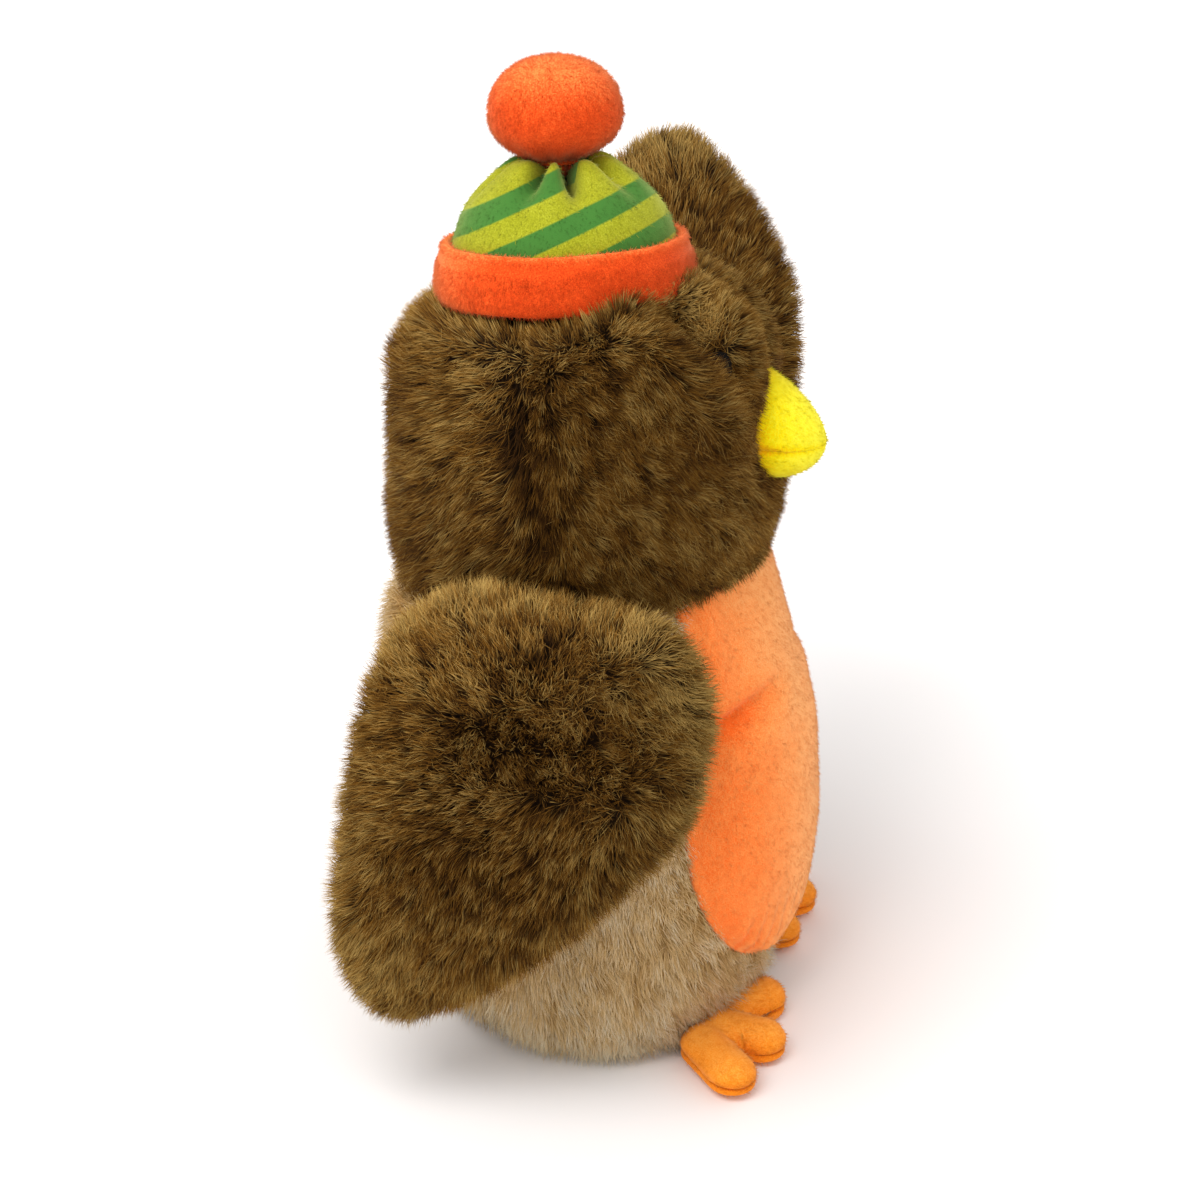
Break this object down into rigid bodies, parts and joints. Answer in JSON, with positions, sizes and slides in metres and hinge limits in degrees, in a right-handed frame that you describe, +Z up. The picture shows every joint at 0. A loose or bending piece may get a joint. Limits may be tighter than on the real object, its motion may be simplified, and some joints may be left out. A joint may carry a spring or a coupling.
{
  "type": "plush dog toy",
  "caption": "Stuffed robin dog toy with long-pile fur head and wings, plush breast, beak and feet, and a striped bobble hat; a squeaker sits inside.",
  "frame": {"origin": "middle of the flat base, on the surface the toy sits on", "axes": "+Z up, -Y the way the bird faces, +X the bird's left"},
  "size_m": [0.3032, 0.1636, 0.3539],
  "materials": {
    "brown_fur": "long pile",
    "beige_fur": "long pile",
    "orange_plush": "short pile",
    "red_orange_plush": "short pile",
    "lime_plush": "short pile with printed stripes",
    "yellow_plush": "short pile",
    "amber_plush": "short pile",
    "black_thread": "satin stitch",
    "fibre_fill": "loose fibre",
    "white_plastic": "matte"
  },
  "bodies": {
    "torso": {"body_cover": "beige_fur", "breast_panel": "orange_plush", "base_panel": "beige_fur", "squeaker_base": "white_plastic", "squeaker_bellows": "white_plastic", "squeaker_whistle": "white_plastic", "squeaker_reed": "white_plastic", "body_stuffing_front": "fibre_fill", "body_stuffing_back": "fibre_fill"},
    "squeaker_top": {"squeaker_cap": "white_plastic"},
    "head": {"head_face_panel": "brown_fur", "head_back_panel": "brown_fur", "head_stuffing": "fibre_fill", "left_eye": "black_thread", "right_eye": "black_thread", "beak_upper": "yellow_plush", "beak_lower": "yellow_plush", "beak_stuffing": "fibre_fill", "hat_cuff": "red_orange_plush", "hat_crown": "lime_plush", "hat_stuffing": "fibre_fill"},
    "pompom": {"pompom_cover": "red_orange_plush", "pompom_stuffing": "fibre_fill", "pompom_tie": "red_orange_plush"},
    "left_wing": {"left_wing_outer": "brown_fur", "left_wing_inner": "brown_fur", "left_wing_stuffing": "fibre_fill"},
    "right_wing": {"right_wing_outer": "brown_fur", "right_wing_inner": "brown_fur", "right_wing_stuffing": "fibre_fill"},
    "left_foot": {"left_foot_upper": "amber_plush", "left_foot_sole": "amber_plush", "left_foot_stuffing": "fibre_fill"},
    "right_foot": {"right_foot_upper": "amber_plush", "right_foot_sole": "amber_plush", "right_foot_stuffing": "fibre_fill"}
  },
  "joints": [
    {"name": "head_turn", "type": "hinge", "parent": "torso", "child": "head", "pos_m": [0, -0.001, 0.178], "axis": [0, 0.1219, 0.9925], "range_deg": [-20, 20], "stiffness_Nm_per_rad": 0.4},
    {"name": "left_wing_flap", "type": "hinge", "parent": "torso", "child": "left_wing", "pos_m": [0.07833, -0.001, 0.18], "axis": [0, -0.9799, -0.1994], "range_deg": [-121, 9], "stiffness_Nm_per_rad": 0.2},
    {"name": "right_wing_flap", "type": "hinge", "parent": "torso", "child": "right_wing", "pos_m": [-0.07833, 0, 0.18], "axis": [0, 0.9799, 0.1994], "range_deg": [0, 125], "stiffness_Nm_per_rad": 0.05},
    {"name": "left_foot_lift", "type": "hinge", "parent": "torso", "child": "left_foot", "pos_m": [0.046, -0.04, 0.007], "axis": [-1, 0, 0], "range_deg": [0, 12], "stiffness_Nm_per_rad": 0.1},
    {"name": "right_foot_lift", "type": "hinge", "parent": "torso", "child": "right_foot", "pos_m": [-0.046, -0.04, 0.007], "axis": [-1, 0, 0], "range_deg": [0, 12], "stiffness_Nm_per_rad": 0.1},
    {"name": "pompom_wobble", "type": "hinge", "parent": "head", "child": "pompom", "pos_m": [0.00357, 0.01422, 0.31637], "axis": [0.9962, -0.0052, -0.087], "range_deg": [-6, 6], "stiffness_Nm_per_rad": 0.03},
    {"name": "squeaker_press", "type": "slide", "parent": "torso", "child": "squeaker_top", "axis": [0, 0, -1], "range_m": [0, 0.008], "stiffness_N_per_m": 400, "deforming": ["squeaker_bellows"]}
  ]
}
